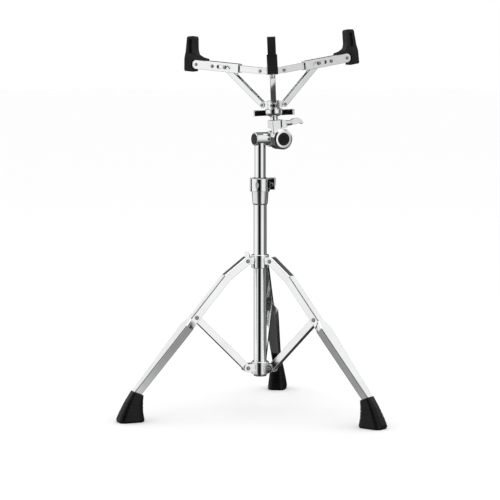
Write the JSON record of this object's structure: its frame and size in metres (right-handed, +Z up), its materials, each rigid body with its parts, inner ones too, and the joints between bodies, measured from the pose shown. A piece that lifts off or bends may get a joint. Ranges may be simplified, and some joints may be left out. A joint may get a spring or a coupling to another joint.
{
  "type": "snare drum stand",
  "caption": "Folding tripod drum stand with a telescoping column, a gyro tilter and an adjustable basket with rubber grips.",
  "frame": {"origin": "the point on the floor under the column's axis, with the stand on its three feet", "axes": "+Z up along the column, +X to the stand's right, +Y to its back"},
  "size_m": [0.6108, 0.5741, 0.8853],
  "materials": {
    "chrome_tube": "mirror-bright chrome plated steel tube",
    "chrome_sheet": "chrome plated formed sheet steel",
    "chrome_cast": "chrome plated die casting",
    "fastener": "plated screws and rivets",
    "rubber": "matt moulded black rubber",
    "black_plastic": "satin black plastic",
    "nylon": "dark nylon"
  },
  "bodies": {
    "mast": {"lower_tube": "chrome_tube", "tube_end_plug": "black_plastic", "lower_collar": "chrome_cast", "lower_collar_pins": "fastener", "height_clamp": "chrome_cast", "clamp_bolt": "fastener"},
    "tripod_collar": {"upper_collar": "chrome_cast"},
    "tripod_wing": {"tripod_wing_bolt": "chrome_cast"},
    "clamp_wing": {"clamp_wing_nut": "chrome_cast"},
    "swivel_bush": {"clamp_bush": "nylon"},
    "head": {"upper_tube": "chrome_tube", "tilter_head": "chrome_cast", "barrel_cap": "black_plastic", "barrel_retainer": "fastener"},
    "housing": {"tilter_housing": "chrome_cast"},
    "rotor": {"rod_clamp": "chrome_cast", "clamp_jaw": "chrome_cast", "clamp_eye_bolt": "fastener", "tilter_disc": "chrome_cast", "disc_insert": "black_plastic", "disc_bolt": "fastener"},
    "lever": {"clamp_lever_nut": "chrome_cast"},
    "rod": {"basket_rod": "chrome_cast", "upper_hub": "chrome_cast", "arm_pins": "fastener"},
    "lower_hub": {"lower_hub": "chrome_cast", "lower_hub_pins": "fastener"},
    "nut": {"basket_nut": "chrome_cast"},
    "leg_left": {"leg_left": "chrome_sheet", "foot_left": "rubber", "leg_pins_left": "fastener"},
    "brace_left": {"brace_left": "chrome_sheet"},
    "leg_right": {"leg_right": "chrome_sheet", "foot_right": "rubber", "leg_pins_right": "fastener"},
    "brace_right": {"brace_right": "chrome_sheet"},
    "leg_rear": {"leg_rear": "chrome_sheet", "foot_rear": "rubber", "leg_pins_rear": "fastener"},
    "brace_rear": {"brace_rear": "chrome_sheet"},
    "arm_front": {"arm_front": "chrome_sheet", "link_pin_front": "fastener"},
    "sleeve_front": {"sleeve_front": "chrome_sheet", "grip_front": "rubber", "sleeve_screws_front": "fastener"},
    "basket_brace_front": {"basket_brace_front": "chrome_sheet"},
    "arm_right": {"arm_right": "chrome_sheet", "link_pin_right": "fastener"},
    "sleeve_right": {"sleeve_right": "chrome_sheet", "grip_right": "rubber", "sleeve_screws_right": "fastener"},
    "basket_brace_right": {"basket_brace_right": "chrome_sheet"},
    "arm_left": {"arm_left": "chrome_sheet", "link_pin_left": "fastener"},
    "sleeve_left": {"sleeve_left": "chrome_sheet", "grip_left": "rubber", "sleeve_screws_left": "fastener"},
    "basket_brace_left": {"basket_brace_left": "chrome_sheet"}
  },
  "joints": [
    {"name": "tripod_fold", "type": "hinge", "parent": "mast", "child": "brace_left", "pos_m": [-0.03147, -0.01288, 0.106], "axis": [-0.3788, 0.9255, 0], "range_deg": [0, 35]},
    {"name": "brace_right_fold", "type": "hinge", "parent": "mast", "child": "brace_right", "pos_m": [0.02689, -0.02081, 0.106], "axis": [-0.6121, -0.7908, 0], "range_deg": [0, 35]},
    {"name": "brace_rear_fold", "type": "hinge", "parent": "mast", "child": "brace_rear", "pos_m": [0.00458, 0.03369, 0.106], "axis": [0.9909, -0.1347, 0], "range_deg": [0, 35]},
    {"name": "leg_left_fold", "type": "hinge", "parent": "brace_left", "child": "leg_left", "pos_m": [-0.14808, -0.06061, 0.2305], "axis": [0.3788, -0.9255, 0], "range_deg": [0, 70]},
    {"name": "collar_slide_link", "type": "hinge", "parent": "leg_left", "child": "tripod_collar", "pos_m": [-0.03147, -0.01288, 0.355], "axis": [-0.3788, 0.9255, 0], "range_deg": [0, 35]},
    {"name": "leg_right_fold", "type": "hinge", "parent": "tripod_collar", "child": "leg_right", "pos_m": [0.02689, -0.02081, 0.355], "axis": [0.6121, 0.7908, 0], "range_deg": [0, 35]},
    {"name": "leg_rear_fold", "type": "hinge", "parent": "tripod_collar", "child": "leg_rear", "pos_m": [0.00458, 0.03369, 0.355], "axis": [-0.9909, 0.1347, 0], "range_deg": [0, 35]},
    {"name": "tripod_wing_turn", "type": "hinge", "parent": "tripod_collar", "child": "tripod_wing", "pos_m": [0, 0, 0.353], "axis": [-0.7908, 0.6121, 0], "range_deg": [-180, 180]},
    {"name": "clamp_wing_turn", "type": "hinge", "parent": "mast", "child": "clamp_wing", "pos_m": [0.026, 0.02, 0.531], "axis": [0, 1, 0], "range_deg": [-180, 180]},
    {"name": "head_swivel", "type": "hinge", "parent": "mast", "child": "swivel_bush", "pos_m": [0, 0, 0.53], "axis": [0, 0, 1], "continuous": true},
    {"name": "height_slide", "type": "slide", "parent": "swivel_bush", "child": "head", "axis": [0, 0, 1], "range_m": [-0.065, 0.18]},
    {"name": "tilt_front_back", "type": "hinge", "parent": "head", "child": "housing", "pos_m": [0, 0, 0.635], "axis": [0.8829, 0.4695, 0], "range_deg": [-60, 60]},
    {"name": "tilt_sideways", "type": "hinge", "parent": "housing", "child": "rotor", "pos_m": [0.03797, 0.02019, 0.635], "axis": [0.4695, -0.8829, 0], "range_deg": [-60, 16]},
    {"name": "clamp_lever_turn", "type": "hinge", "parent": "rotor", "child": "lever", "pos_m": [0.05607, 0.01871, 0.67029], "axis": [0.8819, 0.4689, 0.0488], "range_deg": [-180, 180]},
    {"name": "basket_swivel", "type": "hinge", "parent": "rotor", "child": "rod", "pos_m": [0.03186, 0.00584, 0.68447], "axis": [-0.0431, -0.0229, 0.9988], "continuous": true},
    {"name": "hub_slide", "type": "slide", "parent": "rod", "child": "lower_hub", "axis": [-0.0431, -0.0229, 0.9988], "range_m": [-0.00501, 0.01401]},
    {"name": "basket_nut_turn", "type": "hinge", "parent": "lower_hub", "child": "nut", "pos_m": [0.03143, 0.00561, 0.69445], "axis": [-0.0431, -0.0229, 0.9988], "range_deg": [-900, 2520]},
    {"name": "arm_front_tilt", "type": "hinge", "parent": "rod", "child": "arm_front", "pos_m": [0.02727, -0.0241, 0.79041], "axis": [-0.9991, 0.0005, -0.0431], "range_deg": [-3.79, 10.52]},
    {"name": "basket_brace_front_tilt", "type": "hinge", "parent": "lower_hub", "child": "basket_brace_front", "pos_m": [0.03064, -0.02231, 0.7124], "axis": [-0.9991, 0.0005, -0.0431], "range_deg": [-0.73, 1.95]},
    {"name": "sleeve_front_slide", "type": "slide", "parent": "arm_front", "child": "sleeve_front", "axis": [-0.004, -0.9967, 0.0816], "range_m": [-0.0115, 0.0115]},
    {"name": "arm_right_tilt", "type": "hinge", "parent": "rod", "child": "arm_right", "pos_m": [0.05104, 0.01713, 0.79238], "axis": [0.5, -0.866, 0.0017], "range_deg": [-3.79, 10.52]},
    {"name": "basket_brace_right_tilt", "type": "hinge", "parent": "lower_hub", "child": "basket_brace_right", "pos_m": [0.05441, 0.01892, 0.71437], "axis": [0.5, -0.866, 0.0017], "range_deg": [-0.73, 1.95]},
    {"name": "sleeve_right_slide", "type": "slide", "parent": "arm_right", "child": "sleeve_right", "axis": [0.8557, 0.4943, 0.153], "range_m": [-0.0115, 0.0115]},
    {"name": "arm_left_tilt", "type": "hinge", "parent": "rod", "child": "arm_left", "pos_m": [0.00345, 0.01715, 0.79033], "axis": [0.4991, 0.8656, 0.0414], "range_deg": [-3.79, 10.52]},
    {"name": "basket_brace_left_tilt", "type": "hinge", "parent": "lower_hub", "child": "basket_brace_left", "pos_m": [0.00682, 0.01894, 0.71232], "axis": [0.4991, 0.8656, 0.0414], "range_deg": [-0.73, 1.95]},
    {"name": "sleeve_left_slide", "type": "slide", "parent": "arm_left", "child": "sleeve_left", "axis": [-0.8652, 0.4952, 0.0787], "range_m": [-0.0115, 0.0115]}
  ],
  "couplings": [
    {"joint": "brace_right_fold", "follows": "tripod_fold", "ratio": 1},
    {"joint": "brace_rear_fold", "follows": "tripod_fold", "ratio": 1},
    {"joint": "leg_left_fold", "follows": "tripod_fold", "ratio": 2},
    {"joint": "collar_slide_link", "follows": "tripod_fold", "ratio": 1},
    {"joint": "leg_right_fold", "follows": "tripod_fold", "ratio": 1},
    {"joint": "leg_rear_fold", "follows": "tripod_fold", "ratio": 1},
    {"joint": "hub_slide", "follows": "basket_nut_turn", "m_per_rad": 0.00031831},
    {"joint": "arm_front_tilt", "follows": "basket_nut_turn", "ratio": 0.0041547},
    {"joint": "basket_brace_front_tilt", "follows": "basket_nut_turn", "ratio": 0.00075215},
    {"joint": "arm_right_tilt", "follows": "basket_nut_turn", "ratio": 0.0041547},
    {"joint": "basket_brace_right_tilt", "follows": "basket_nut_turn", "ratio": 0.00075215},
    {"joint": "arm_left_tilt", "follows": "basket_nut_turn", "ratio": 0.0041547},
    {"joint": "basket_brace_left_tilt", "follows": "basket_nut_turn", "ratio": 0.00075215}
  ]
}
